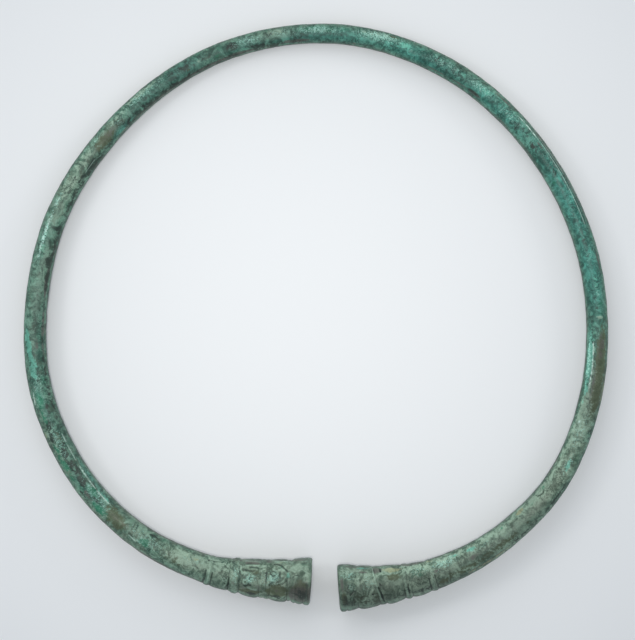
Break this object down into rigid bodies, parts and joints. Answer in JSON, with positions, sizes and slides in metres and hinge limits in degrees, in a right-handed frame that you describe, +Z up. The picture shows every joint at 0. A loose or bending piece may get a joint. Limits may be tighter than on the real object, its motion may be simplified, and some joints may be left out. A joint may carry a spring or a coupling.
{
  "type": "bronze neck ring (torc) with buffer terminals",
  "caption": "Penannular cast bronze neck ring, a plain tapering round bar ending in two facing, moulded and carved buffer terminals, with a green patina.",
  "frame": {"origin": "on the surface the ring lies on, under the middle of its box", "axes": "+Z up out of the surface it lies on; +Y from the gap towards the back of the neck; +X to the right seen from above with the gap towards the viewer"},
  "size_m": [0.1462, 0.147, 0.0121],
  "materials": {
    "patinated_bronze": "corroded bronze, mottled green and teal patina, partly polished, with brown and dark patches"
  },
  "bodies": {
    "root": {"torc": "patinated_bronze"}
  },
  "joints": []
}
